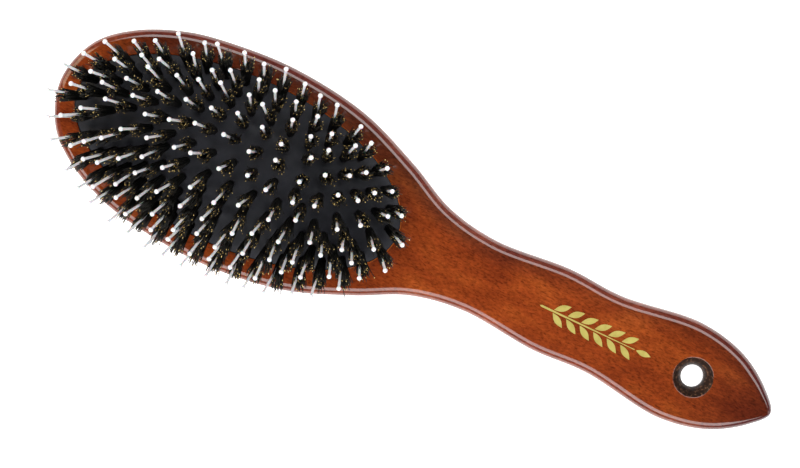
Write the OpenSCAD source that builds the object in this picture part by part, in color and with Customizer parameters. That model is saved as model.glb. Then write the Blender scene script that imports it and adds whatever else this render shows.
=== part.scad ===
// Vanity hairbrush with a wooden body, an air-cushioned rubber pad, nylon pins and bristle tufts.
// The brush lies on its flat back: X runs from the head (-X) to the handle tip (+X), Y runs
// across, Z is up through the bristles. The origin is under the middle of the brush.

/* [Wooden body] */
// Length of the brush from head to handle tip
brush_l = 234; // [220:1:245]
// Thickness of the wood
wood_t = 9.5; // [9:0.1:11]
// Radius of the rounded edges
edge_r = 3.0; // [2:0.1:3.5]
// Width of the oval head
head_w = 64.8; // [63:0.2:68]
// Width at the waist between head and handle
waist_w = 23.2; // [22:0.2:26]
// Width of the swelling that the palm holds
palm_w = 26.7; // [26:0.1:29]
// Width of the slight neck behind it
neck_w = 25.2; // [24:0.2:27]
// Width of the handle end around the hanging hole
end_w = 31.1; // [29:0.1:33]

/* [Hanging hole] */
// Distance of the hole from the handle tip
hole_from_tip = 25.6; // [22:0.1:28]
// Radius of the hole
hole_r = 3.35; // [2.5:0.05:3.6]
// Radius of the countersink at either face
sink_r = 5.9; // [5:0.1:6.5]
// Depth of each countersink
sink_depth = 3.9; // [1:0.1:4.2]

/* [Rubber pad] */
// Distance of the pad's centre from the head end
pad_from_head = 59.0; // [58:0.2:61]
// Half length of the pad where it meets the wood
pad_a = 52.4; // [51:0.2:53]
// Half width of the pad where it meets the wood
pad_b = 25.4; // [25:0.1:26]
// Height of the pad's crown over its rim
crown_h = 7.0; // [5:0.5:8]
// Thickness of the rubber
rubber_t = 1.5; // [1.2:0.1:1.8]
// Depth of the pocket under the pad
pocket_depth = 5.5; // [5.2:0.1:6]
// Thickness of the wooden lip that holds the pad's flange down
lip_t = 1.6; // [1.2:0.1:1.8]
// How far the flange reaches under the lip
flange_w = 1.3; // [1:0.1:1.5]

/* [Pins and tufts] */
// Height of a pin over the rubber
pin_h = 20; // [16:0.5:21]
// Radius of a pin at the rubber
pin_r = 0.46; // [0.4:0.02:0.6]
// Radius of a pin just under its ball tip
pin_tip_r = 0.38; // [0.32:0.01:0.5]
// Radius of the ball tip
ball_r = 0.7; // [0.6:0.05:1]
// Height of a bristle tuft over the rubber
tuft_h = 13.5; // [8:0.5:14]
// Radius of a tuft where it leaves the rubber
tuft_r = 1.2; // [1:0.05:1.3]
// Radius of a tuft at its top
tuft_top_r = 1.8; // [1.4:0.05:2]
// Small tilt of each pin, in a direction of its own, in degrees
tilt = 2.0; // [0:0.1:2.5]
// How much further out than the dome's normal the pins at the rim lean, in degrees
splay = 6; // [0:0.5:7]
// How far all the pins are combed towards -Y, in degrees
comb = 5.5; // [0:0.1:6]
// How far all the pins are combed back towards the head end, in degrees
comb_back = 2.5; // [0:0.1:4]

/* [Hidden] */

wood_colour = [0.55, 0.22, 0.09];
rubber_colour = [0.10, 0.11, 0.13];
foil_colour = [0.80, 0.72, 0.36];
pin_colour = [0.95, 0.95, 0.96];
bristle_colour = [0.16, 0.13, 0.10];
steel_colour = [0.62, 0.62, 0.64];

over = 1;               // how far a cutter runs past what it cuts
gap = 0.1;              // clearance between a tuft and its hole in the rubber
head_x = -brush_l / 2;  // the head's far end
hole_x = brush_l / 2 - hole_from_tip;
pad_x = head_x + pad_from_head;

// ---- outline of the wood: a smooth curve through points on one side, mirrored to the other

// Distance from the head end as a share of the length, and half width, in order to the tip
knots = [
    [0, 0], [0.018, 0.418 * head_w / 2], [0.057, 0.676 * head_w / 2], [0.122, 0.884 * head_w / 2],
    [0.192, 0.974 * head_w / 2], [0.272, head_w / 2], [0.372, 0.903 * head_w / 2],
    [0.457, 0.670 * head_w / 2], [0.523, 1.24 * waist_w / 2], [0.592, waist_w / 2],
    [0.694, palm_w / 2], [0.766, neck_w / 2], [0.874, end_w / 2], [0.937, 0.80 * end_w / 2],
    [0.981, 0.37 * end_w / 2], [1, 0]];
side = [for (k = knots) [head_x + brush_l * k.x, k.y]];
mirrored = [for (p = side) [p.x, -p.y]];

outline_step = 2.8;     // distance between points along the outline
edge_steps = 5;         // facets on each rounded edge
tip_edge = 0.5;         // share of the edge's radius that is left at the pointed handle tip
tip_run = 14;           // distance from the tip over which the edge narrows

// Centripetal Catmull-Rom curve from b to c, with a before and d after them
function knot_gap(p, q) = sqrt(norm(q - p));
function mix(p, q, from, to, t) = p * (to - t) / (to - from) + q * (t - from) / (to - from);
function curve_point(a, b, c, d, share) =
    let (
        t1 = knot_gap(a, b), t2 = t1 + knot_gap(b, c), t3 = t2 + knot_gap(c, d),
        t = t1 + (t2 - t1) * share,
        ab = mix(a, b, 0, t1, t), bc = mix(b, c, t1, t2, t), cd = mix(c, d, t2, t3, t))
    mix(mix(ab, bc, 0, t2, t), mix(bc, cd, t1, t3, t), t1, t2, t);
function half_outline(last = len(side) - 1) = [
    for (i = [0 : last - 1])
        let (
            before = i == 0 ? mirrored[1] : side[i - 1],
            after = i == last - 1 ? mirrored[last - 1] : side[i + 2],
            steps = ceil(norm(side[i + 1] - side[i]) / outline_step))
        for (s = [0 : steps - 1]) curve_point(before, side[i], side[i + 1], after, s / steps)];

upper = half_outline();
count = len(upper);
// All the way round: along +Y to the tip, then back along -Y to the head end
outline = concat(upper, [side[len(side) - 1]], [for (i = [count - 1 : -1 : 1]) [upper[i].x, -upper[i].y]]);
outline_n = len(outline);
// The way inwards from a point of the outline, as long as the edge's share of its radius there
function inward(i) =
    let (
        along = outline[(i + 1) % outline_n] - outline[(i + outline_n - 1) % outline_n],
        from_tip = norm(outline[i] - [brush_l / 2, 0]))
    [along.y, -along.x] / norm(along) * min(1, tip_edge + (1 - tip_edge) * from_tip / tip_run);

// ---- the rubber dome

rim_z = wood_t - 0.4;                 // where the dome meets the wooden lip
flange_top = wood_t - lip_t - 0.05;
flange_t = 1.4;
floor_z = wood_t - pocket_depth;

// The dome's surface over a point, and its outward direction there
function dome_z(x, y) =
    rim_z + crown_h * (1 - pow((x - pad_x) / pad_a, 2) - pow(y / pad_b, 2));
function dome_normal(x, y) =
    let (n = [2 * crown_h * (x - pad_x) / pow(pad_a, 2), 2 * crown_h * y / pow(pad_b, 2), 1])
    n / norm(n);

pad_sides = 72;         // facets round the pad
dome_steps = 10;        // rings from the crown to the rim

// ---- where the pins stand: concentric ovals, and a row along the middle

// Half length, half width and number of pins of each oval, from the outermost inwards
rings = [
    [pad_a - 3.2, pad_b - 2.8, 40], [pad_a - 7.9, pad_b - 6.5, 34], [pad_a - 12.8, pad_b - 10.2, 28],
    [pad_a - 18.0, pad_b - 14.4, 22], [pad_a - 24.5, pad_b - 19.2, 16]];
row_half = 20;          // half length of the middle row
row_n = 7;

arc_steps = 180;        // steps for measuring along an oval
function oval(a, b, t) = [a * cos(t), b * sin(t)];
function lengths(a, b) = [
    for (i = 0, s = 0; i <= arc_steps;
        i = i + 1, s = s + norm(oval(a, b, i * 360 / arc_steps) - oval(a, b, (i - 1) * 360 / arc_steps))) s];
// The angle at which a share of the way round an oval is reached
function angle_at(table, share) =
    let (
        want = share * table[arc_steps],
        i = max([for (j = [0 : arc_steps - 1]) if (table[j] <= want) j]))
    (i + (want - table[i]) / (table[i + 1] - table[i])) * 360 / arc_steps;
// Every other oval starts half a step further round, so that neighbours stand in the gaps
function ring_feet(k) =
    let (a = rings[k][0], b = rings[k][1], n = rings[k][2], table = lengths(a, b))
    [for (i = [0 : n - 1])
        [pad_x, 0] + oval(a, b, angle_at(table, (i + 0.25 + 0.5 * (k % 2)) / n))];
row_feet = [for (i = [0 : row_n - 1]) [pad_x + row_half * (2 * i / (row_n - 1) - 1), 0]];
feet = concat([for (k = [0 : len(rings) - 1]) ring_feet(k)], [row_feet]);

// Stands its children on the dome at foot i of ring k, near the rubber's normal
module on_dome(k, i) {
    foot = feet[k][i];
    lean = dome_normal(foot.x, foot.y)
        + tan(tilt) * [cos(137 * i + 53 * k), sin(137 * i + 53 * k), 0]
        + tan(splay) * [pow((foot.x - pad_x) / pad_a, 3), pow(foot.y / pad_b, 3), 0]
        - [tan(comb_back), tan(comb), 0];
    translate([foot.x, foot.y, dome_z(foot.x, foot.y)])
        rotate([0, acos(lean.z / norm(lean)), atan2(lean.y, lean.x)])
            children();
}

module on_each_foot(k) {
    for (i = [0 : len(feet[k]) - 1]) on_dome(k, i) children();
}

// ---- wood

// The blank: the outline stacked through a rounded edge, a straight wall and a rounded edge. Each
// rounded edge runs a little past its face, and the faces are then cut flat.
module blank() {
    past = 0.4;
    low = concat(
        [let (s = 90 / edge_steps) [1 - sin(s) + (1 + past) * sin(s), -past * (1 - cos(s))]],
        [for (s = [1 : edge_steps]) [1 - sin(90 * s / edge_steps), 1 - cos(90 * s / edge_steps)]]);
    levels = concat(
        [for (l = low) [edge_r * l.x, edge_r * l.y]],
        [for (s = [edge_steps : -1 : 0]) [edge_r * low[s].x, wood_t - edge_r * low[s].y]]);
    points = [
        for (l = levels) for (i = [0 : outline_n - 1])
            let (p = outline[i] + l.x * inward(i)) [p.x, p.y, l.y]];
    last = (len(levels) - 1) * outline_n;
    intersection() {
        polyhedron(points, concat(
            [[for (i = [0 : outline_n - 1]) i]],
            [for (l = [0 : len(levels) - 2]) for (i = [0 : outline_n - 1])
                let (a = l * outline_n + i, b = l * outline_n + (i + 1) % outline_n)
                [a, a + outline_n, b + outline_n, b]],
            [[for (i = [outline_n - 1 : -1 : 0]) last + i]]));
        translate([-brush_l, -head_w, 0]) cube([2 * brush_l, 2 * head_w, wood_t]);
    }
}

// An oval plate round the pad's centre, for the pocket and its opening
module pad_oval(grow, h) {
    linear_extrude(h)
        polygon([for (i = [0 : pad_sides - 1])
            [pad_x, 0] + oval(pad_a + grow, pad_b + grow, i * 360 / pad_sides)]);
}

module wooden_body() {
    color(wood_colour) difference() {
        blank();
        translate([0, 0, wood_t - lip_t]) pad_oval(gap, lip_t + over);
        translate([0, 0, floor_z]) pad_oval(flange_w + gap, pocket_depth - lip_t);
        translate([hole_x, 0, -over]) cylinder(h = wood_t + 2 * over, r = hole_r, $fn = 64);
        translate([hole_x, 0, wood_t - sink_depth])
            cylinder(h = sink_depth, r1 = hole_r, r2 = sink_r, $fn = 64);
        translate([hole_x, 0, 0]) cylinder(h = sink_depth, r1 = sink_r, r2 = hole_r, $fn = 64);
    }
}

// ---- rubber pad

// Points of one ring of the pad on an oval; without a height they lie a drop under the dome's surface
function pad_ring(a, b, drop, height = undef) = [
    for (i = [0 : pad_sides - 1])
        let (p = [pad_x, 0] + oval(a, b, i * 360 / pad_sides))
        [p.x, p.y, is_undef(height) ? dome_z(p.x, p.y) - drop : height]];

module pad_shell() {
    rows = 2 * dome_steps + 3;
    inner_a = pad_a - rubber_t;
    inner_b = pad_b - rubber_t;
    flange_bottom = flange_top - flange_t;
    // From over the crown, down round the flange and back up to under the crown
    points = concat(
        [for (s = [1 : dome_steps]) each pad_ring(pad_a * s / dome_steps, pad_b * s / dome_steps, 0)],
        pad_ring(pad_a, pad_b, 0, flange_top),
        pad_ring(pad_a + flange_w, pad_b + flange_w, 0, flange_top),
        pad_ring(pad_a + flange_w, pad_b + flange_w, 0, flange_bottom),
        pad_ring(inner_a, inner_b, 0, flange_bottom),
        [for (s = [dome_steps - 1 : -1 : 1])
            each pad_ring(inner_a * s / (dome_steps - 1), inner_b * s / (dome_steps - 1), rubber_t)],
        [[pad_x, 0, rim_z + crown_h], [pad_x, 0, rim_z + crown_h - rubber_t]]);
    top = rows * pad_sides;
    bottom = top + 1;
    polyhedron(points, concat(
        [for (i = [0 : pad_sides - 1]) [top, (i + 1) % pad_sides, i]],
        [for (r = [0 : rows - 2]) for (i = [0 : pad_sides - 1])
            let (a = r * pad_sides + i, b = r * pad_sides + (i + 1) % pad_sides)
            each [[a, b, b + pad_sides], [a, b + pad_sides, a + pad_sides]]],
        [for (i = [0 : pad_sides - 1])
            [bottom, (rows - 1) * pad_sides + i, (rows - 1) * pad_sides + (i + 1) % pad_sides]]));
}

module cushion_pad() {
    color(rubber_colour) difference() {
        pad_shell();
        for (k = [0 : len(feet) - 1]) on_each_foot(k)
            translate([0, 0, -2 * rubber_t]) cylinder(h = 3 * rubber_t, r = tuft_r + gap, $fn = 24);
    }
}

// ---- pins, tufts and the wire anchors that hold them in the rubber

root_z = -rubber_t - 4 * gap;   // under the rubber, and clear of it where a tuft leans
root_r = 1.55;                  // the folded root of a tuft, wider than its hole
root_t = 0.9;
base_t = 0.7;                   // the disc that ends a pin under the tuft's root
pin_bore = pin_r + 0.06;        // the way for the pin through the tuft

module pin() {
    rotate_extrude($fn = 32) polygon(concat(
        [[0, root_z - root_t - base_t], [root_r, root_z - root_t - base_t],
            [root_r, root_z - root_t - gap / 2], [pin_r, root_z - root_t - gap / 2], [pin_r, 0]],
        [for (s = [0 : 8])
            let (start = -acos(pin_tip_r / ball_r), at = start + (90 - start) * s / 8)
            [ball_r * cos(at), pin_h - ball_r + ball_r * sin(at)]]));
}

module tuft() {
    rotate_extrude($fn = 32) polygon([
        [pin_bore, root_z - root_t], [root_r, root_z - root_t], [root_r, root_z],
        [tuft_r, root_z], [tuft_r, 2 * gap], [tuft_top_r, tuft_h], [pin_bore, tuft_h]]);
}

// A flat steel staple that crosses under the pin's disc, with its two legs turned up beside the
// root. It lies along the oval, clear of the next oval's roots.
module anchor() {
    wire = 0.3;
    leg = 1.3;
    z = root_z - root_t - base_t - wire - gap / 2;
    reach = root_r + gap;
    difference() {
        translate([-wire, -reach - wire, z]) cube([2 * wire, 2 * (reach + wire), leg + wire]);
        translate([-wire - over, -reach, z + wire]) cube([2 * (wire + over), 2 * reach, leg + over]);
    }
}

module pins(k) { color(pin_colour) on_each_foot(k) pin(); }
module tufts(k) { color(bristle_colour) on_each_foot(k) tuft(); }
module anchors(k) { color(steel_colour) on_each_foot(k) anchor(); }

// ---- foil ornament on the handle: a sprig of pointed leaves along a tapering stem

foil_t = 0.08;
foil_x = 59.5;          // middle of the sprig
sprig_l = 36;
leaf_l = 5.2;
leaf_w = 1.9;
leaf_angle = 34;        // between a leaf and the stem
leaf_pairs = 6;
leaf_pitch = 4.4;
leaf_off = 0.5;         // how far a leaf's foot stands from the stem's middle
stem_w = 0.6;           // width of the stem's thick end

// A leaf along +X from the origin, widest at its middle and pointed at both ends
module leaf(long, wide) {
    steps = 8;
    polygon(concat(
        [for (s = [0 : steps]) [long * s / steps, wide / 2 * sin(180 * s / steps)]],
        [for (s = [steps - 1 : -1 : 1]) [long * s / steps, -wide / 2 * sin(180 * s / steps)]]));
}

module foil_ornament() {
    stem_end = sprig_l / 2 - leaf_l + leaf_off;
    first = stem_end - leaf_off - leaf_pairs * leaf_pitch;
    color(foil_colour) translate([foil_x, 0, wood_t]) linear_extrude(foil_t) {
        polygon([[-sprig_l / 2, 0], [-sprig_l / 2 + stem_w, stem_w / 2], [stem_end - leaf_off, stem_w / 6],
            [stem_end - leaf_off, -stem_w / 6], [-sprig_l / 2 + stem_w, -stem_w / 2]]);
        translate([stem_end, 0]) leaf(leaf_l - leaf_off, leaf_w * 0.9);
        for (i = [0 : leaf_pairs - 1]) for (turn = [-leaf_angle, leaf_angle])
            translate([first + leaf_pitch * i, leaf_off * sign(turn)]) rotate(turn) leaf(leaf_l, leaf_w);
    }
}

wooden_body();
cushion_pad();
foil_ornament();
pins(0);  // pins_ring_1
pins(1);  // pins_ring_2
pins(2);  // pins_ring_3
pins(3);  // pins_ring_4
pins(4);  // pins_ring_5
pins(5);  // pins_row
tufts(0);  // tufts_ring_1
tufts(1);  // tufts_ring_2
tufts(2);  // tufts_ring_3
tufts(3);  // tufts_ring_4
tufts(4);  // tufts_ring_5
tufts(5);  // tufts_row
anchors(0);  // anchors_ring_1
anchors(1);  // anchors_ring_2
anchors(2);  // anchors_ring_3
anchors(3);  // anchors_ring_4
anchors(4);  // anchors_ring_5
anchors(5);  // anchors_row
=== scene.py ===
"""Vanity hairbrush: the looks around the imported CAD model. Lengths are in metres, in the CAD frame."""
import math

import bmesh
import bpy
import numpy as np
from mathutils import Matrix, Vector


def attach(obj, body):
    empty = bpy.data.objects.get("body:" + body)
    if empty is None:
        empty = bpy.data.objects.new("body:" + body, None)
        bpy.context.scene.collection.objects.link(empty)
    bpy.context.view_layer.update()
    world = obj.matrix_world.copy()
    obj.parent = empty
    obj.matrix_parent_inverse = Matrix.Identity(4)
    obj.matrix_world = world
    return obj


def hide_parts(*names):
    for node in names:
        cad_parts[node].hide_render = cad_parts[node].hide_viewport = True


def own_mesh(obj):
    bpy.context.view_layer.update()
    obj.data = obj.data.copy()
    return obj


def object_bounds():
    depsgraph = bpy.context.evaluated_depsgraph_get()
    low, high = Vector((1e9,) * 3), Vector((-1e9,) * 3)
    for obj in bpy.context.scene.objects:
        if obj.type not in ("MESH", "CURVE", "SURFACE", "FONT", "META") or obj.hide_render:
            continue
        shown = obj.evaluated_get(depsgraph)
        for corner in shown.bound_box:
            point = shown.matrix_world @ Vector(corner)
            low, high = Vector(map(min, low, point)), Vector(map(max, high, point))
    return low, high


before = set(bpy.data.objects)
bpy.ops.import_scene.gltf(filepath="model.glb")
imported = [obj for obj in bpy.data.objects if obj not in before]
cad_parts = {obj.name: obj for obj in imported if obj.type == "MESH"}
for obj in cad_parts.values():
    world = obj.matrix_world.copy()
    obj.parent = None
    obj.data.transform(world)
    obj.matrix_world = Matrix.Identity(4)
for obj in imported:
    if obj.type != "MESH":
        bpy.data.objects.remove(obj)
cad_low, cad_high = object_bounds()
MM = 0.001

# ---------------------------------------------------------------- sizes, as in the CAD model

LENGTH = (cad_high - cad_low).x
HEAD_X = cad_low.x
TIP_X = cad_high.x
WOOD_T = 9.5 * MM
EDGE_R = 3.0 * MM
HEAD_W, WAIST_W, PALM_W, NECK_W, END_W = 64.8 * MM, 23.2 * MM, 26.7 * MM, 25.2 * MM, 31.1 * MM

HOLE_X = TIP_X - 25.6 * MM
HOLE_R = 3.35 * MM
SINK_R = 5.9 * MM
SINK_DEPTH = 3.9 * MM

PAD_X = HEAD_X + 59.0 * MM
PAD_A, PAD_B = 52.4 * MM, 25.4 * MM
CROWN_H = 7.0 * MM
RUBBER_T = 1.5 * MM
RIM_Z = WOOD_T - 0.4 * MM
LIP_T = 1.6 * MM
FLANGE_W = 1.3 * MM
FLANGE_T = 1.4 * MM
POCKET_Z = WOOD_T - 5.5 * MM

PIN_H, PIN_R, PIN_TIP_R, BALL_R = 20.0 * MM, 0.46 * MM, 0.38 * MM, 0.7 * MM
TUFT_H = 13.5 * MM
# How the pins lean: each its own way, outwards with the dome, and all of them combed to -Y and -X
TILT, SPLAY, COMB, COMB_BACK = (math.tan(math.radians(d)) for d in (2.0, 6.0, 5.5, 2.5))

# Half length, half width and number of pins of each oval, from the outermost inwards
RINGS = [
    (PAD_A - 3.2 * MM, PAD_B - 2.8 * MM, 40),
    (PAD_A - 7.9 * MM, PAD_B - 6.5 * MM, 34),
    (PAD_A - 12.8 * MM, PAD_B - 10.2 * MM, 28),
    (PAD_A - 18.0 * MM, PAD_B - 14.4 * MM, 22),
    (PAD_A - 24.5 * MM, PAD_B - 19.2 * MM, 16),
]
# Half length and number of pins of the middle row
ROW_HALF, ROW_N = 20 * MM, 7
PIN_TURN, RING_TURN = 137, 53   # degrees by which a pin's own tilt turns, from pin to pin and oval to oval
# The bodies that move with the rubber, one for each oval and one for the row
BODIES = ["ring_1", "ring_2", "ring_3", "ring_4", "ring_5", "row"]

# ---------------------------------------------------------------- mesh helpers


def new_piece(name, mesh, material):
    """Links a mesh as a piece with one material."""
    piece = bpy.data.objects.new(name, mesh)
    bpy.context.scene.collection.objects.link(piece)
    mesh.materials.append(material)
    return piece


def finished_mesh(bm, name):
    """The mesh of a bmesh whose work is done."""
    mesh = bpy.data.meshes.new(name)
    bm.to_mesh(mesh)
    bm.free()
    return mesh


def smooth(mesh, sharp_degrees=35):
    """Smooth shading, with edges sharper than an angle kept sharp."""
    mesh.polygons.foreach_set("use_smooth", np.ones(len(mesh.polygons), bool))
    mesh.set_sharp_from_angle(angle=math.radians(sharp_degrees))


def bridge(bm, lower, upper):
    """Quads between two closed rings of as many vertices, facing outwards if both run counterclockwise."""
    n = len(lower)
    for i in range(n):
        j = (i + 1) % n
        bm.faces.new((lower[i], lower[j], upper[j], upper[i]))


def bridge_all(bm, rings):
    """Quads between each ring and the next."""
    for ring, following in zip(rings, rings[1:]):
        bridge(bm, ring, following)


def add_ring(bm, points, z):
    return [bm.verts.new((x, y, z)) for x, y in points]


def fill_flat(bm, rings, normal):
    """Fills the flat region between closed rings of vertices that lie in one plane."""
    edges = []
    for ring in rings:
        for i in range(len(ring)):
            pair = (ring[i], ring[(i + 1) % len(ring)])
            edges.append(bm.edges.get(pair) or bm.edges.new(pair))
    made = bmesh.ops.triangle_fill(bm, use_beauty=True, use_dissolve=False, edges=edges, normal=normal)
    for item in made["geom"]:
        if isinstance(item, bmesh.types.BMFace) and item.normal.dot(Vector(normal)) < 0:
            item.normal_flip()


def oval(a, b, angle):
    return a * math.cos(angle), b * math.sin(angle)


def oval_ring(centre_x, a, b, count):
    """Points round an oval, counterclockwise."""
    return [
        (centre_x + x, y) for x, y in (oval(a, b, 2 * math.pi * i / count) for i in range(count))
    ]


# ---------------------------------------------------------------- outline of the wood

# Share of the brush's length, and the wood's full width there
KNOTS = [
    (0, 0), (0.018, 0.418 * HEAD_W), (0.057, 0.676 * HEAD_W), (0.122, 0.884 * HEAD_W),
    (0.192, 0.974 * HEAD_W), (0.272, HEAD_W), (0.372, 0.903 * HEAD_W), (0.457, 0.670 * HEAD_W),
    (0.523, 1.24 * WAIST_W), (0.592, WAIST_W), (0.694, PALM_W), (0.766, NECK_W),
    (0.874, END_W), (0.937, 0.80 * END_W), (0.981, 0.37 * END_W), (1, 0),
]
OUTLINE_STEP = 1.5 * MM
TIP_EDGE = 0.5              # share of the edge's radius that is left at the pointed handle tip
TIP_RUN = 14 * MM           # distance from the tip over which the edge narrows


def curve_point(a, b, c, d, share):
    """Centripetal Catmull-Rom curve from b to c."""
    t1 = math.sqrt((b - a).length)
    t2 = t1 + math.sqrt((c - b).length)
    t3 = t2 + math.sqrt((d - c).length)
    t = t1 + (t2 - t1) * share

    def mix(p, q, start, end):
        return p * ((end - t) / (end - start)) + q * ((t - start) / (end - start))

    ab, bc, cd = mix(a, b, 0, t1), mix(b, c, t1, t2), mix(c, d, t2, t3)
    return mix(mix(ab, bc, 0, t2), mix(bc, cd, t1, t3), t1, t2)


def outline():
    """Points round the wood, counterclockwise seen from above, from the head end."""
    side = [Vector((HEAD_X + LENGTH * share, -width / 2)) for share, width in KNOTS]
    far = [Vector((p.x, -p.y)) for p in side]
    last = len(side) - 1
    lower = []
    for i in range(last):
        before = far[1] if i == 0 else side[i - 1]
        after = far[last - 1] if i == last - 1 else side[i + 2]
        steps = math.ceil((side[i + 1] - side[i]).length / OUTLINE_STEP)
        lower += [curve_point(before, side[i], side[i + 1], after, s / steps) for s in range(steps)]
    upper = [Vector((p.x, -p.y)) for p in reversed(lower[1:])]
    return lower + [side[last]] + upper


def inward(points, i):
    """The direction into the wood, at right angles to the outline at one of its points."""
    along = points[(i + 1) % len(points)] - points[i - 1]
    return Vector((-along.y, along.x)).normalized()


def inset(points, distance, extras):
    """The outline moved inwards by an edge's share of distance, and by its own extra more at each point."""
    moved = []
    for i, p in enumerate(points):
        from_tip = (p - Vector((TIP_X, 0))).length
        share = min(1, TIP_EDGE + (1 - TIP_EDGE) * from_tip / TIP_RUN)
        moved.append(p + inward(points, i) * (distance * share + extras[i]))
    return moved


# ---------------------------------------------------------------- wood

EDGE_STEPS = 9
HOLD = 0.5 * MM             # a ring this far inside a rounded edge keeps the face beside it flat
HEAD_SHADE, NECK_SHADE = 1.0 * MM, 4.0 * MM     # how far into the face the painted shade along the +Y side reaches
SHADE_START, SHADE_FULL = 8 * MM, 30 * MM       # where that painted shade begins and is full, from the head's end
HANDLE_SHADE = 0.4          # how much of it is left on the handle
SHADE_FADE = 50 * MM        # how far along the handle it fades to that
EDGE_PAINTED_SHADE, RIM_PAINTED_SHADE, FACE_PAINTED_SHADE, POCKET_PAINTED_SHADE = 0.5, 1.0, 0.9, 0.8    # how dark the painted shade makes each zone
LIP_R, LIP_TURN, LIP_STEPS = 0.5 * MM, math.radians(50), 5      # rounding at the countersink's rim
COVE_BOW, COVE_STEPS = 0.30 * MM, 9             # how far the countersink's wall is hollowed
POCKET_EDGE, POCKET_EDGE_STEPS = 0.35 * MM, 4   # rounding at the pocket's rim
PAD_CLEAR = 0.1 * MM        # between the pad and the pocket's wall
HOLE_SIDES, POCKET_SIDES = 72, 144


def share_between(value, start, end):
    """0 up to the start, 1 from the end on, and even in between."""
    return min(1, max(0, (value - start) / (end - start)))


def sink_profile():
    """Radius and depth under the face, from the face to the hole: a rounded lip, then a steep cove."""
    rim = SINK_R + 0.6 * LIP_R
    rows = [(rim + LIP_R, 0.0), (rim, 0.0)]
    for s in range(1, LIP_STEPS + 1):
        turn = LIP_TURN * s / LIP_STEPS
        rows.append((rim - LIP_R * math.sin(turn), LIP_R * (1 - math.cos(turn))))
    r0, d0 = rows[-1]
    for s in range(1, COVE_STEPS + 1):
        share = s / COVE_STEPS
        bow = COVE_BOW * math.sin(math.pi * share)
        rows.append((r0 + (HOLE_R - r0) * share - bow * 0.8, d0 + (SINK_DEPTH - d0) * share - bow * 0.5))
    rows.append((HOLE_R, SINK_DEPTH + 0.3 * MM))
    return rows


def pocket_profile():
    """How far past the pad's outline and how high each ring of the pocket stands, from the face down."""
    rows = [(PAD_CLEAR + 2.4 * POCKET_EDGE, WOOD_T), (PAD_CLEAR + POCKET_EDGE, WOOD_T)]
    for s in range(1, POCKET_EDGE_STEPS + 1):
        turn = math.pi / 2 * s / POCKET_EDGE_STEPS
        out, down = POCKET_EDGE * (1 - math.sin(turn)), POCKET_EDGE * (1 - math.cos(turn))
        rows.append((PAD_CLEAR + out, WOOD_T - down))
    under, far = WOOD_T - LIP_T, FLANGE_W + PAD_CLEAR
    return rows + [(PAD_CLEAR, under), (far, under), (far, POCKET_Z)]


def shade_at(x):
    """How much painted shade the +Y side gets: none at the head's round end, then full, and less on the
    handle.
    """
    rise = share_between(x, HEAD_X + SHADE_START, HEAD_X + SHADE_FULL)
    return rise * (1 - (1 - HANDLE_SHADE) * share_between(x, 0, SHADE_FADE))


def add_outside(bm, edge):
    """The rings of the rounded outside, from the back's flat face up to the top's."""
    turns = [math.pi / 2 * s / EDGE_STEPS for s in range(EDGE_STEPS + 1)]
    arc = [(1 - math.sin(t), 1 - math.cos(t)) for t in turns]
    levels = [(EDGE_R, HOLD, 0.0)] + [(EDGE_R * w, 0.0, EDGE_R * h) for w, h in arc]
    levels += [(EDGE_R * w, 0.0, WOOD_T - EDGE_R * h) for w, h in reversed(arc)]
    levels.append((EDGE_R, HOLD, WOOD_T))
    rings = [add_ring(bm, inset(edge, w, [extra] * len(edge)), z) for w, extra, z in levels]
    bridge_all(bm, rings)
    return rings


def add_shade_end(bm, edge, rim, past_pad):
    """A ring inside the top's flat face, where the painted shade along the +Y side ends. Towards the
    handle's tip it closes in on the rim, but never meets it."""
    to_tip = [max(0.05, share_between(TIP_X - p.x, 3 * MM, 23 * MM)) for p in edge]
    runs = [HOLD + (HEAD_SHADE + (NECK_SHADE - HEAD_SHADE) * a) * b for a, b in zip(past_pad, to_tip)]
    ring = add_ring(bm, inset(edge, EDGE_R, runs), WOOD_T)
    bridge(bm, rim, ring)
    return ring


def painted_tone_shares(edge, rings, shade_end, pocket, past_pad):
    """How much of the painted reflection tint, painted shade and painted rim light each vertex takes."""
    facing = [max(0, -inward(edge, i).y) * shade_at(p.x) for i, p in enumerate(edge)]
    rounded_rings, rim_rings = rings[2:-3], rings[-3:]
    # the rounded rings take a painted reflection tint
    rounded = {vert.index: 1.0 for vert in sum(rounded_rings, [])}
    # painted shade on the pocket's upper rings, and on the rounded edge, the rim rings and the face's strip
    # along the +Y side
    painted_shade = {
        vert.index: POCKET_PAINTED_SHADE * max(0, vert.co.y) / PAD_B * shade_at(vert.co.x)
        for vert in pocket[0] + pocket[1]
    }
    for zone, depth in ((rounded_rings, EDGE_PAINTED_SHADE), (rim_rings, RIM_PAINTED_SHADE)):
        for ring in zone:
            painted_shade |= {vert.index: depth * share for vert, share in zip(ring, facing)}
    for vert, share, past in zip(shade_end, facing, past_pad):
        painted_shade[vert.index] = FACE_PAINTED_SHADE * share * (1 - past)
    # painted light on the pocket's rounded rim, stronger towards the handle
    painted_rim_light = {vert.index: max(0, vert.co.x - PAD_X) / PAD_A for vert in sum(pocket[2:5], [])}
    return {"rounded": rounded, "painted_shade": painted_shade, "painted_rim_light": painted_rim_light}


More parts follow.
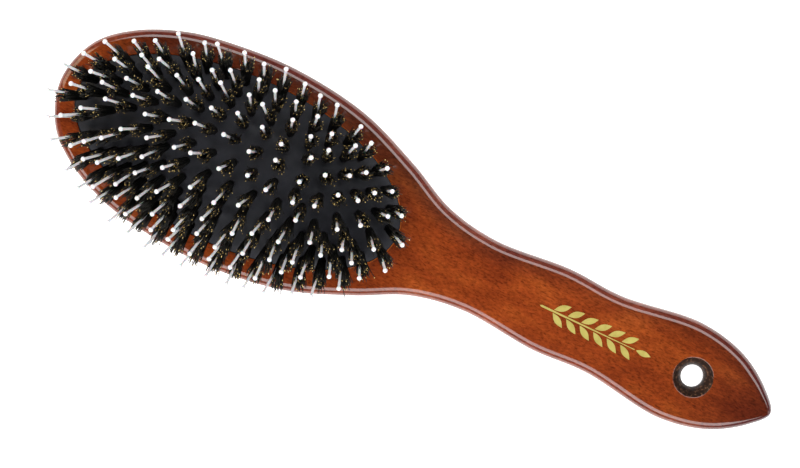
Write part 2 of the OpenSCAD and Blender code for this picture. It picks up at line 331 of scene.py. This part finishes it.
def make_wooden_body(material, hole_material):
    bm = bmesh.new()
    edge = outline()
    pad_end = PAD_X + PAD_A
    past_pad = [share_between(p.x, pad_end - 10 * MM, pad_end + 10 * MM) for p in edge]
    rings = add_outside(bm, edge)
    shade_end = add_shade_end(bm, edge, rings[-1], past_pad)

    # the hanging hole, countersunk from both faces, and the pocket under the pad
    rows = sink_profile()
    down = [(r, WOOD_T - d) for r, d in rows] + [(r, d) for r, d in reversed(rows)]
    bore = [add_ring(bm, oval_ring(HOLE_X, r, r, HOLE_SIDES), z) for r, z in down]
    bridge_all(bm, bore)
    pocket = [
        add_ring(bm, oval_ring(PAD_X, PAD_A + grow, PAD_B + grow, POCKET_SIDES), z)
        for grow, z in pocket_profile()
    ]
    bridge_all(bm, pocket)

    fill_flat(bm, [shade_end, bore[0], pocket[0]], (0, 0, 1))
    fill_flat(bm, [rings[0], bore[-1]], (0, 0, -1))
    fill_flat(bm, [pocket[-1]], (0, 0, 1))
    bm.verts.index_update()
    bmesh.ops.recalc_face_normals(bm, faces=bm.faces)

    # the hanging hole's wall takes the second material
    sunk = {vert.index for vert in sum(bore[4:-4], [])}
    for face in bm.faces:
        face.material_index = int(all(vert.index in sunk for vert in face.verts))

    painted_tones = painted_tone_shares(edge, rings, shade_end, pocket, past_pad)
    mesh = finished_mesh(bm, "wooden_body_shape")
    for name, shares in painted_tones.items():
        layer = mesh.attributes.new(name, "FLOAT", "POINT")
        for index, share in shares.items():
            layer.data[index].value = share
    smooth(mesh, 40)
    piece = new_piece("lacquered_body", mesh, material)
    mesh.materials.append(hole_material)
    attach(piece, "root")
    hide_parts("wooden_body")


# ---------------------------------------------------------------- where the pins stand

OVAL_POINTS = 181           # points on an oval, over which its length is measured


def dome_z(x, y):
    return RIM_Z + CROWN_H * (1 - ((x - PAD_X) / PAD_A) ** 2 - (y / PAD_B) ** 2)


def dome_normal(x, y):
    slope_x = 2 * CROWN_H * (x - PAD_X) / PAD_A**2
    slope_y = 2 * CROWN_H * y / PAD_B**2
    return Vector((slope_x, slope_y, 1)).normalized()


def ring_feet(k):
    """Feet of oval k at equal steps along it; every other oval starts half a step further round."""
    a, b, n = RINGS[k]
    angles = np.linspace(0, 2 * math.pi, OVAL_POINTS)
    points = np.array([oval(a, b, t) for t in angles])
    run = np.concatenate([[0], np.cumsum(np.linalg.norm(np.diff(points, axis=0), axis=1))])
    wanted = (np.arange(n) + 0.25 + 0.5 * (k % 2)) / n * run[-1]
    return [(PAD_X + x, y) for x, y in (oval(a, b, t) for t in np.interp(wanted, run, angles))]


def all_feet():
    row = [(PAD_X + ROW_HALF * (2 * i / (ROW_N - 1) - 1), 0.0) for i in range(ROW_N)]
    return [ring_feet(k) for k in range(len(RINGS))] + [row]


def stand(k, i, foot):
    """The frame of a pin: its foot on the rubber, and its axis with two directions across it."""
    x, y = foot
    turn = math.radians(PIN_TURN * i + RING_TURN * k)
    lean = dome_normal(x, y) + TILT * Vector((math.cos(turn), math.sin(turn), 0))
    lean += SPLAY * Vector((((x - PAD_X) / PAD_A) ** 3, (y / PAD_B) ** 3, 0)) - Vector((COMB_BACK, COMB, 0))
    axis = lean.normalized()
    across = axis.cross(Vector((0, 1, 0))).normalized()
    return Vector((x, y, dome_z(x, y))), axis, across, axis.cross(across)


FEET = all_feet()

# ---------------------------------------------------------------- rubber pad

PAD_SIDES = 180
PAD_RINGS = 44
COLLAR_H = 0.38 * MM        # how high the rubber rises round each tuft
COLLAR_R = 1.75 * MM
COLLAR_FADE = 0.06          # share of the dome, at its rim, over which the collars fade
UNDER_STEP = 4              # the hidden inner skin has every fourth ring
FLANGE_GAP = 0.05 * MM


def rubber_lift(x, y):
    """How far the stretched rubber stands above the plain dome: a low collar round each tuft."""
    lift = np.zeros_like(x)
    for ring in FEET:
        for fx, fy in ring:
            away = np.hypot(x - fx, y - fy) / COLLAR_R
            lift += COLLAR_H * np.exp(-(away**4))
    return lift


def make_dome(material):
    """A closed shell that flattens towards its rim."""
    shares = np.linspace(0, 1, PAD_RINGS + 1)[1:]
    angles = np.arange(PAD_SIDES) * 2 * math.pi / PAD_SIDES
    x = PAD_X + PAD_A * shares[:, None] * np.cos(angles)
    y = PAD_B * shares[:, None] * np.sin(angles)
    rise = CROWN_H * (1 - shares[:, None] ** 2)
    top = RIM_Z + rise + rubber_lift(x, y) * np.clip((1 - shares[:, None]) / COLLAR_FADE, 0, 1)
    inner = shares * (1 - RUBBER_T / PAD_B)
    bm = bmesh.new()
    outer_rings = [add_ring(bm, zip(x[r], y[r]), 0) for r in range(PAD_RINGS)]
    for r, ring in enumerate(outer_rings):
        for vert, z in zip(ring, top[r]):
            vert.co.z = z
    for small, large in zip(outer_rings, outer_rings[1:]):
        bridge(bm, large, small)
    crown = bm.verts.new((PAD_X, 0, RIM_Z + CROWN_H))
    for i in range(PAD_SIDES):
        bm.faces.new((crown, outer_rings[0][i], outer_rings[0][(i + 1) % PAD_SIDES]))
    under = []
    for s in inner[::UNDER_STEP]:
        z = RIM_Z + CROWN_H * (1 - s**2) - RUBBER_T
        under.append(add_ring(bm, oval_ring(PAD_X, PAD_A * s, PAD_B * s, PAD_SIDES), z))
    bridge_all(bm, under)
    bridge(bm, under[-1], outer_rings[-1])
    bm.faces.new(list(reversed(under[0])))
    bmesh.ops.recalc_face_normals(bm, faces=bm.faces)
    mesh = finished_mesh(bm, "pad_dome_shape")
    smooth(mesh, 60)
    dome = new_piece("pad_dome", mesh, material)
    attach(dome, "root")
    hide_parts("cushion_pad")
    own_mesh(dome)


def make_flange(material):
    """The pad's rim, held under the wooden lip."""
    bm = bmesh.new()
    flange_top = WOOD_T - LIP_T - FLANGE_GAP
    rows = [
        (-RUBBER_T, RIM_Z - 0.9 * MM), (0, RIM_Z - 0.12 * MM), (0, flange_top), (FLANGE_W, flange_top),
        (FLANGE_W, flange_top - FLANGE_T), (-RUBBER_T, flange_top - FLANGE_T),
    ]
    rings = [add_ring(bm, oval_ring(PAD_X, PAD_A + grow, PAD_B + grow, PAD_SIDES), z) for grow, z in rows]
    for one, other in zip(rings, rings[1:] + rings[:1]):
        bridge(bm, one, other)
    bmesh.ops.recalc_face_normals(bm, faces=bm.faces)
    mesh = finished_mesh(bm, "pad_flange_shape")
    smooth(mesh)
    flange = new_piece("pad_flange", mesh, material)
    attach(flange, "root")


# ---------------------------------------------------------------- tubes that follow many lines at once


def tube_mesh(name, sides, centres, radii, across, over):
    """One mesh of many closed tubes. centres is (tubes, rings, 3), radii is (tubes, rings), and across
    and over are each tube's two directions, (tubes, 3)."""
    centres, radii, across, over = (np.array(values) for values in (centres, radii, across, over))
    tubes, rings = centres.shape[:2]
    angles = np.arange(sides) * 2 * math.pi / sides
    round_x = np.cos(angles)[None, None, :, None] * across[:, None, None, :]
    round_y = np.sin(angles)[None, None, :, None] * over[:, None, None, :]
    points = centres[:, :, None, :] + radii[:, :, None, None] * (round_x + round_y)
    points = points.reshape(-1, 3)
    tube = np.arange(tubes)[:, None, None] * rings * sides
    ring = np.arange(rings - 1)[None, :, None] * sides
    side = np.arange(sides)[None, None, :]
    nxt = (side + 1) % sides
    quads = np.stack(
        [tube + ring + side, tube + ring + nxt, tube + ring + sides + nxt, tube + ring + sides + side], -1
    ).reshape(-1, 4)
    first = np.arange(tubes)[:, None] * rings * sides + np.arange(sides)[None, ::-1]
    last = np.arange(tubes)[:, None] * rings * sides + (rings - 1) * sides + np.arange(sides)[None, :]
    caps = np.concatenate([first, last])
    mesh = bpy.data.meshes.new(name)
    mesh.vertices.add(len(points))
    mesh.vertices.foreach_set("co", points.astype(np.float32).ravel())
    loops = np.concatenate([quads.ravel(), caps.ravel()]).astype(np.int32)
    sizes = np.concatenate([np.full(len(quads), 4), np.full(len(caps), sides)])
    mesh.loops.add(len(loops))
    mesh.loops.foreach_set("vertex_index", loops)
    mesh.polygons.add(len(sizes))
    mesh.polygons.foreach_set("loop_start", np.concatenate([[0], np.cumsum(sizes)[:-1]]).astype(np.int32))
    mesh.polygons.foreach_set("loop_total", sizes.astype(np.int32))
    mesh.update(calc_edges=True)
    mesh.validate()
    return mesh


# ---------------------------------------------------------------- pins

PIN_SEED = 100
PIN_SIDES = 18
BALL_STEPS = 8
BALL_END = math.radians(84)     # the ball's rings stop here, and a small flat closes it
PIN_LEAN, PIN_BOW = 0.55 * MM, 0.25 * MM        # how far single pins lean and bow at the tip


def pin_profile():
    """Height over the rubber and radius of each ring of a pin, from its disc to the top of its ball."""
    root = -RUBBER_T - 0.4 * MM
    disc_r, disc_t, tuft_root = 1.55 * MM, 0.7 * MM, 0.9 * MM
    edge_r, edge_t = disc_r * 0.94, 0.08 * MM
    low = root - tuft_root - disc_t
    high = root - tuft_root - 0.05 * MM
    rows = [(low, edge_r), (low + edge_t, disc_r), (high - edge_t, disc_r), (high, edge_r)]
    rows += [(high, PIN_R), (0, PIN_R)]
    centre = PIN_H - BALL_R
    start = -math.acos(PIN_TIP_R / BALL_R)
    neck = centre + BALL_R * math.sin(start)
    rows += [(neck * 0.35, PIN_R * 0.93), (neck * 0.7, PIN_R * 0.82), (neck - 0.7 * MM, PIN_TIP_R * 1.04)]
    rows.append((neck - 0.15 * MM, PIN_TIP_R * 1.02))
    for s in range(BALL_STEPS + 1):
        turn = start + (BALL_END - start) * s / BALL_STEPS
        rows.append((centre + BALL_R * math.sin(turn), BALL_R * math.cos(turn)))
    return np.array(rows)


def make_pins(k, material):
    """Every pin of one oval, each with its own slight lean and bow."""
    rng = np.random.default_rng(PIN_SEED + k)
    profile = pin_profile()
    height = np.clip(profile[:, 0] / PIN_H, 0, 1)
    centres, radii, acrosses, overs = [], [], [], []
    for i, foot in enumerate(FEET[k]):
        base, axis, across, over = (np.array(v) for v in stand(k, i, foot))
        lean = rng.normal(0, PIN_LEAN, 2)
        bow = rng.normal(0, PIN_BOW, 2)
        bent = height[:, None] * lean + height[:, None] ** 2 * bow
        centres.append(base + profile[:, :1] * axis + bent[:, :1] * across + bent[:, 1:] * over)
        radii.append(profile[:, 1])
        acrosses.append(across)
        overs.append(over)
    mesh = tube_mesh(f"pins_{BODIES[k]}_shape", PIN_SIDES, centres, radii, acrosses, overs)
    smooth(mesh, 50)
    piece = new_piece(f"nylon_pins_{BODIES[k]}", mesh, material)
    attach(piece, BODIES[k])
    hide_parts(f"pins_{BODIES[k]}")


# ---------------------------------------------------------------- bristles

BRISTLE_SEED = 200
BRISTLES = 100              # in one tuft
BRISTLE_SIDES = 3
BRISTLE_R = 0.145 * MM
BRISTLE_TAPER = (1, 1, 1, 1, 0.95, 0.85)
BRISTLE_RISE = np.linspace(0, 1, len(BRISTLE_TAPER))
BRISTLE_ROOT = -0.42 * MM   # how far under the rubber's surface a bristle starts
GOLDEN_ANGLE = math.pi * (3 - math.sqrt(5))     # spreads the bristles evenly round the pin
ROOT_IN, ROOT_OUT = 0.56 * MM, 1.1 * MM     # the ring round the pin that a tuft's roots fill
SPREAD_IN, SPREAD_MORE = 0.15 * MM, 0.8 * MM    # spread of the innermost bristles, and the outermost's extra
STRAY, UNEVEN = 0.3 * MM, 1.0 * MM      # how much single bristles differ in spread and in height
TUFT_LEAN, BRISTLE_SWAY = 0.35 * MM, 0.4 * MM   # how far whole tufts and single bristles lean at the top
TUFT_DRIFT = Vector((0.9, -0.35, 0)) * MM       # how far the tufts' tops have sagged, all the same way
FLARE = (1.0 * MM, 0.5 * MM, 0, 0, 0, 0)    # how far each oval's tops bend outwards
FLARE_COMBED = 0.5          # how much more they do so on the -Y side
WORN_PLACES = ((-105.0 * MM, -9.5 * MM), (-103.5 * MM, -5.0 * MM))  # the tufts nearest to these are worn
WORN_SHARE = 0.5            # of their height that is left


def is_worn(foot):
    """Whether the tuft at this foot is one of the two in the outermost oval that are worn short."""
    return any(min(FEET[0], key=lambda f: math.dist(f, place)) == foot for place in WORN_PLACES)


def tuft(rng, k, i, foot):
    """Bristles round a pin that spread, bend and end at uneven heights: the line, radii, two directions
    and tint of each."""
    base, axis, across, over = (np.array(v) for v in stand(k, i, foot))
    outward = np.array([(foot[0] - PAD_X) / PAD_A, foot[1] / PAD_B, 0])
    drift = np.array(TUFT_DRIFT) + FLARE[k] * (1 + FLARE_COMBED * max(0, -outward[1])) * outward
    turn_start = rng.uniform(0, 2 * math.pi)
    fullness = rng.uniform(0.85, 1.2)
    lean = rng.normal(0, TUFT_LEAN, 2)
    worn = WORN_SHARE if is_worn(foot) else 1
    lines, radii, tints = [], [], []
    for b in range(BRISTLES):
        share = (b + 0.5) / BRISTLES
        turn = turn_start + b * GOLDEN_ANGLE
        root_r = math.sqrt(ROOT_IN**2 + (ROOT_OUT**2 - ROOT_IN**2) * share)
        spread = (SPREAD_IN + SPREAD_MORE * share) * fullness + abs(rng.normal(0, STRAY))
        out = across * math.cos(turn) + over * math.sin(turn)
        sway = lean + rng.normal(0, BRISTLE_SWAY, 2)
        tall = TUFT_H * (0.90 - 0.10 * share) + rng.normal(0, UNEVEN)
        along = BRISTLE_ROOT + BRISTLE_RISE * (tall * worn - BRISTLE_ROOT)
        up = np.clip(along / TUFT_H, 0, None)
        line = base + along[:, None] * axis
        line = line + (root_r + spread * up**1.25)[:, None] * out + (up**2)[:, None] * drift
        line = line + (sway[0] * up**2)[:, None] * across + (sway[1] * up**2)[:, None] * over
        lines.append(line)
        radii.append(BRISTLE_R * rng.uniform(0.8, 1.15) * np.array(BRISTLE_TAPER))
        tints.append(rng.uniform(0, 1))
    return lines, radii, [across] * BRISTLES, [over] * BRISTLES, tints


def make_bristles(k, material):
    """Every tuft of one oval."""
    rng = np.random.default_rng(BRISTLE_SEED + k)
    tufts = [tuft(rng, k, i, foot) for i, foot in enumerate(FEET[k])]
    lines, radii, acrosses, overs, tints = (sum(parts, []) for parts in zip(*tufts))
    mesh = tube_mesh(f"tufts_{BODIES[k]}_shape", BRISTLE_SIDES, lines, radii, acrosses, overs)
    mesh.polygons.foreach_set("use_smooth", np.ones(len(mesh.polygons), bool))
    tint = np.repeat(np.array(tints), len(BRISTLE_RISE) * BRISTLE_SIDES)
    height = np.tile(np.repeat(BRISTLE_RISE, BRISTLE_SIDES), len(tints))
    for name, values in (("tint", tint), ("height", height)):
        layer = mesh.attributes.new(name, "FLOAT", "POINT")
        layer.data.foreach_set("value", values.astype(np.float32))
    piece = new_piece(f"bristles_{BODIES[k]}", mesh, material)
    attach(piece, BODIES[k])
    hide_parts(f"tufts_{BODIES[k]}")


# ---------------------------------------------------------------- materials


class Shader:
    """A material's node tree, with short calls for the nodes that are used here."""

    def __init__(self, name, **sockets):
        self.material = bpy.data.materials.new(name)
        self.material.use_nodes = True
        self.nodes = self.material.node_tree.nodes
        self.links = self.material.node_tree.links
        self.principled = self.nodes["Principled BSDF"]
        for socket, value in sockets.items():
            self.principled.inputs[socket.replace("_", " ")].default_value = value
        self.coords = self.nodes.new("ShaderNodeTexCoord")

    def mapped(self, scale):
        """Object coordinates in millimetres, times a scale along each axis."""
        mapping = self.nodes.new("ShaderNodeMapping")
        mapping.inputs["Scale"].default_value = [s / MM for s in scale]
        self.links.new(self.coords.outputs["Object"], mapping.inputs["Vector"])
        return mapping.outputs["Vector"]

    def noise(self, scale, detail=3.0, roughness=0.5, distortion=0.0):
        node = self.nodes.new("ShaderNodeTexNoise")
        node.inputs["Scale"].default_value = 1.0
        node.inputs["Detail"].default_value = detail
        node.inputs["Roughness"].default_value = roughness
        node.inputs["Distortion"].default_value = distortion
        self.links.new(self.mapped(scale), node.inputs["Vector"])
        return node.outputs["Fac"]

    def attribute(self, name):
        node = self.nodes.new("ShaderNodeAttribute")
        node.attribute_name = name
        return node.outputs["Fac"]

    def along_x(self, start, end):
        """0 to 1 along the brush, from one place to another."""
        apart = self.nodes.new("ShaderNodeSeparateXYZ")
        self.links.new(self.coords.outputs["Object"], apart.inputs[0])
        node = self.nodes.new("ShaderNodeMapRange")
        node.inputs["From Min"].default_value = start
        node.inputs["From Max"].default_value = end
        self.links.new(apart.outputs["X"], node.inputs["Value"])
        return node.outputs["Result"]

    def ramp(self, value, stops):
        """A colour ramp through (place, colour) stops; a colour is a grey level or (r, g, b)."""
        node = self.nodes.new("ShaderNodeValToRGB")
        elements = node.color_ramp.elements
        while len(elements) < len(stops):
            elements.new(0.5)
        for element, (place, colour) in zip(elements, stops):
            element.position = place
            element.color = (*colour, 1) if isinstance(colour, tuple) else (colour, colour, colour, 1)
        self.links.new(value, node.inputs["Fac"])
        return node.outputs["Color"]

    def mix(self, kind, factor, first, second):
        """Mixes two colours; factor and second may be plain values or outputs."""
        node = self.nodes.new("ShaderNodeMix")
        node.data_type = "RGBA"
        node.blend_type = kind
        for socket, value in ((node.inputs[0], factor), (node.inputs[6], first), (node.inputs[7], second)):
            if isinstance(value, bpy.types.NodeSocket):
                self.links.new(value, socket)
            else:
                socket.default_value = (*value, 1) if isinstance(value, tuple) else value
        return node.outputs[2]

    def maths(self, kind, *values):
        node = self.nodes.new("ShaderNodeMath")
        node.operation = kind
        for socket, value in zip(node.inputs, values):
            if isinstance(value, bpy.types.NodeSocket):
                self.links.new(value, socket)
            else:
                socket.default_value = value
        return node.outputs[0]

    def bump(self, height, distance, strength=1.0, socket="Normal"):
        node = self.nodes.new("ShaderNodeBump")
        node.inputs["Distance"].default_value = distance
        node.inputs["Strength"].default_value = strength
        self.links.new(height, node.inputs["Height"])
        self.links.new(node.outputs["Normal"], self.principled.inputs[socket])

    def set(self, socket, output):
        self.links.new(output, self.principled.inputs[socket])


def wood_material():
    """Stained beech under clear lacquer: blotches, streaks along the brush, pores and dark flecks. It is
    darker towards the handle's tip; the rounded edges carry a painted reflection tint, the +Y side painted
    shade, and the pocket's rim towards the handle painted light."""
    s = Shader(
        "lacquered_beech", Roughness=0.5, Specular_IOR_Level=0.0, Coat_Weight=1.0, Coat_Roughness=0.05)
    blotch = s.noise((0.05, 0.11, 0.11), 3, 0.55, 0.3)
    colour = s.ramp(blotch, [
        (0.30, (0.125, 0.0195, 0.0045)), (0.50, (0.175, 0.030, 0.0060)), (0.70, (0.235, 0.047, 0.0085))])
    # darker towards the handle's tip
    darker_to_tip = s.ramp(s.along_x(55 * MM, TIP_X), [(0.0, 1.0), (0.55, 0.86), (1.0, (0.40, 0.42, 0.85))])
    colour = s.mix("MULTIPLY", 1.0, colour, darker_to_tip)
    streak = s.noise((0.14, 1.1, 1.1), 4, 0.6)
    colour = s.mix("MULTIPLY", 0.35, colour, s.ramp(streak, [(0.30, 0.60), (0.55, 1.0), (0.75, 1.25)]))
    grain = s.noise((0.75, 1.5, 1.5), 2, 0.7)
    colour = s.mix("MULTIPLY", 0.65, colour, s.ramp(grain, [(0.30, 0.50), (0.50, 1.0), (0.70, 1.45)]))
    fleck = s.noise((0.8, 2.6, 2.6), 1, 0.4)
    colour = s.mix("MULTIPLY", 0.6, colour, s.ramp(fleck, [(0.32, 0.40), (0.41, 1.0), (1.0, 1.0)]))
    # the rounded edges tinted paler and bluer: a painted reflection tone
    colour = s.mix("MULTIPLY", s.attribute("rounded"), colour, (0.90, 1.15, 3.0))
    # painted shade along the +Y side
    colour = s.mix("MULTIPLY", s.attribute("painted_shade"), colour, (0.40, 0.50, 1.1))
    # painted light on the pocket's rim towards the handle
    colour = s.mix("MIX", s.attribute("painted_rim_light"), colour, (0.60, 0.15, 0.03))
    s.set("Base Color", colour)
    s.bump(s.noise((0.12, 0.3, 0.3), 2), 0.05 * MM, 0.5)
    s.bump(s.noise((0.05, 0.12, 0.12), 2), 0.06 * MM, 0.6, "Coat Normal")
    return s.material


def hole_material():
    """The same stain soaked dark into the hanging hole's end grain, rough, with a few paler specks."""
    s = Shader("stained_end_grain", Roughness=0.42, Specular_IOR_Level=0.25)
    s.set("Base Color", s.ramp(s.noise((1.1, 1.1, 1.1), 2, 0.6), [
        (0.35, (0.012, 0.0055, 0.0035)), (0.56, (0.026, 0.012, 0.0075)), (0.68, (0.13, 0.066, 0.038))]))
    s.bump(s.noise((1.6, 1.6, 1.6), 2), 0.08 * MM, 0.8)
    return s.material


def rubber_material():
    """Black rubber with a fine grain and a worn satin gloss."""
    s = Shader("black_rubber_skin", Specular_IOR_Level=0.22)
    tone = s.noise((0.12, 0.12, 0.12), 3)
    s.set("Base Color", s.ramp(tone, [(0.3, (0.0105, 0.0112, 0.0155)), (0.7, (0.0165, 0.0172, 0.0235))]))
    s.set("Roughness", s.ramp(s.noise((0.4, 0.4, 0.4), 3), [(0.3, 0.48), (0.7, 0.66)]))
    s.bump(s.noise((2.2, 2.2, 2.2), 3), 0.05 * MM, 0.5)
    return s.material


def nylon_material():
    s = Shader(
        "white_nylon_gloss", Roughness=0.22, Subsurface_Weight=0.25, Subsurface_Scale=0.6 * MM,
        Specular_IOR_Level=0.5)
    tone = s.noise((0.3, 0.3, 0.3), 2)
    s.set("Base Color", s.ramp(tone, [(0.3, (0.58, 0.59, 0.62)), (0.7, (0.66, 0.66, 0.68))]))
    s.bump(s.noise((0.8, 0.8, 0.8), 2), 0.01 * MM, 0.3)
    return s.material


def bristle_material():
    """Black bristle; the cut ends of some are brown or gold, each by its own amount."""
    s = Shader("boar_bristle_hair", Roughness=0.5, Specular_IOR_Level=0.22)
    shift = s.maths("MULTIPLY_ADD", s.attribute("tint"), 0.2, -0.2)
    place = s.maths("ADD", s.attribute("height"), shift)
    s.set("Base Color", s.ramp(place, [
        (0.0, (0.0085, 0.0085, 0.0075)), (0.94, (0.0090, 0.0085, 0.0070)), (0.955, (0.10, 0.055, 0.014)),
        (0.97, (0.45, 0.30, 0.085)), (1.0, (0.85, 0.66, 0.28))]))
    return s.material


def foil_material():
    s = Shader("stamped_gold_foil", Metallic=0.55, Roughness=0.42)
    tone = s.noise((0.5, 0.5, 0.5), 3)
    s.set("Base Color", s.ramp(tone, [(0.3, (0.37, 0.315, 0.072)), (0.7, (0.46, 0.40, 0.105))]))
    s.bump(s.noise((1.5, 3.0, 3.0), 3), 0.03 * MM, 0.4)
    return s.material


def steel_material():
    s = Shader("plain_wire_steel", Metallic=1.0, Roughness=0.35)
    s.set("Base Color", s.ramp(s.noise((1, 1, 1), 3), [(0.3, 0.42), (0.7, 0.60)]))
    s.bump(s.noise((0.5, 6, 6), 2), 0.01 * MM, 0.4)
    return s.material


def floor_material():
    s = Shader("pale_floor", Roughness=0.9, Specular_IOR_Level=0.1, Emission_Strength=1.0)
    s.principled.inputs["Base Color"].default_value = (0.86, 0.86, 0.86, 1)
    s.principled.inputs["Emission Color"].default_value = (1, 1, 1, 1)
    return s.material


# ---------------------------------------------------------------- stage


def make_floor(material):
    bm = bmesh.new()
    bmesh.ops.create_grid(bm, x_segments=4, y_segments=4, size=3.0)
    mesh = finished_mesh(bm, "floor_shape")
    floor = new_piece("floor", mesh, material)
    floor.location.z = cad_low.z - 0.2 * MM


def add_light(name, place, target, size, power, colour=(1, 1, 1)):
    light = bpy.data.lights.new(name, "AREA")
    light.shape = "RECTANGLE"
    light.size, light.size_y = size
    light.energy = power
    light.color = colour
    lamp = bpy.data.objects.new(name, light)
    bpy.context.scene.collection.objects.link(lamp)
    lamp.location = place
    lamp.rotation_euler = (Vector(target) - Vector(place)).to_track_quat("-Z", "Y").to_euler()


def make_lights():
    middle = (0, 0, 0)
    add_light("key", (0.05, 0.53, 0.94), middle, (1.6, 0.50), 14)
    add_light("fill", (0.0, -0.74, 0.74), middle, (1.6, 0.65), 18)
    add_light("head_side", (-1.1, 0.1, 0.7), middle, (0.5, 0.9), 6, (1.0, 0.85, 0.60))
    add_light("tip_side", (1.1, 0.0, 0.8), middle, (0.5, 0.9), 4)


def make_world(light, backdrop):
    """A dim even light all round, and a white backdrop where the floor ends."""
    world = bpy.data.worlds.new("studio")
    world.use_nodes = True
    nodes, links = world.node_tree.nodes, world.node_tree.links
    dim = nodes["Background"]
    dim.inputs["Color"].default_value = (1, 1, 1, 1)
    dim.inputs["Strength"].default_value = light
    seen = nodes.new("ShaderNodeBackground")
    seen.inputs["Color"].default_value = (1, 1, 1, 1)
    seen.inputs["Strength"].default_value = backdrop
    path, either = nodes.new("ShaderNodeLightPath"), nodes.new("ShaderNodeMixShader")
    links.new(path.outputs["Is Camera Ray"], either.inputs[0])
    links.new(dim.outputs[0], either.inputs[1])
    links.new(seen.outputs[0], either.inputs[2])
    links.new(either.outputs[0], nodes["World Output"].inputs["Surface"])
    bpy.context.scene.world = world


def make_camera():
    """Almost straight above the brush, which runs down to the right in the picture."""
    eye = Vector((0.0130, 0.0390, 0.5781))
    target = Vector((-0.0051, 0.0010, 0.005))
    roll = math.radians(25.28)
    back = (eye - target).normalized()
    along = (Vector((1, 0, 0)) - back * back.x).normalized()
    across = back.cross(along)
    right = math.cos(roll) * along + math.sin(roll) * across
    up = back.cross(right)
    data = bpy.data.cameras.new("camera")
    data.sensor_width = 36
    data.lens = 86.5
    data.clip_start = 0.01
    camera = bpy.data.objects.new("camera", data)
    bpy.context.scene.collection.objects.link(camera)
    camera.matrix_world = Matrix(
        ((right.x, up.x, back.x, eye.x), (right.y, up.y, back.y, eye.y), (right.z, up.z, back.z, eye.z),
         (0, 0, 0, 1)))
    bpy.context.scene.camera = camera


# ---------------------------------------------------------------- the scene

make_camera()
make_wooden_body(wood_material(), hole_material())
rubber = rubber_material()
make_dome(rubber)
make_flange(rubber)
nylon, bristle, steel = nylon_material(), bristle_material(), steel_material()
for k in range(len(BODIES)):
    make_pins(k, nylon)
    make_bristles(k, bristle)
    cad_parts[f"anchors_{BODIES[k]}"].material_slots[0].material = steel
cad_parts["foil_ornament"].material_slots[0].material = foil_material()
make_floor(floor_material())
make_lights()
make_world(light=0.04, backdrop=1.0)
bpy.context.scene.view_settings.view_transform = "Standard"
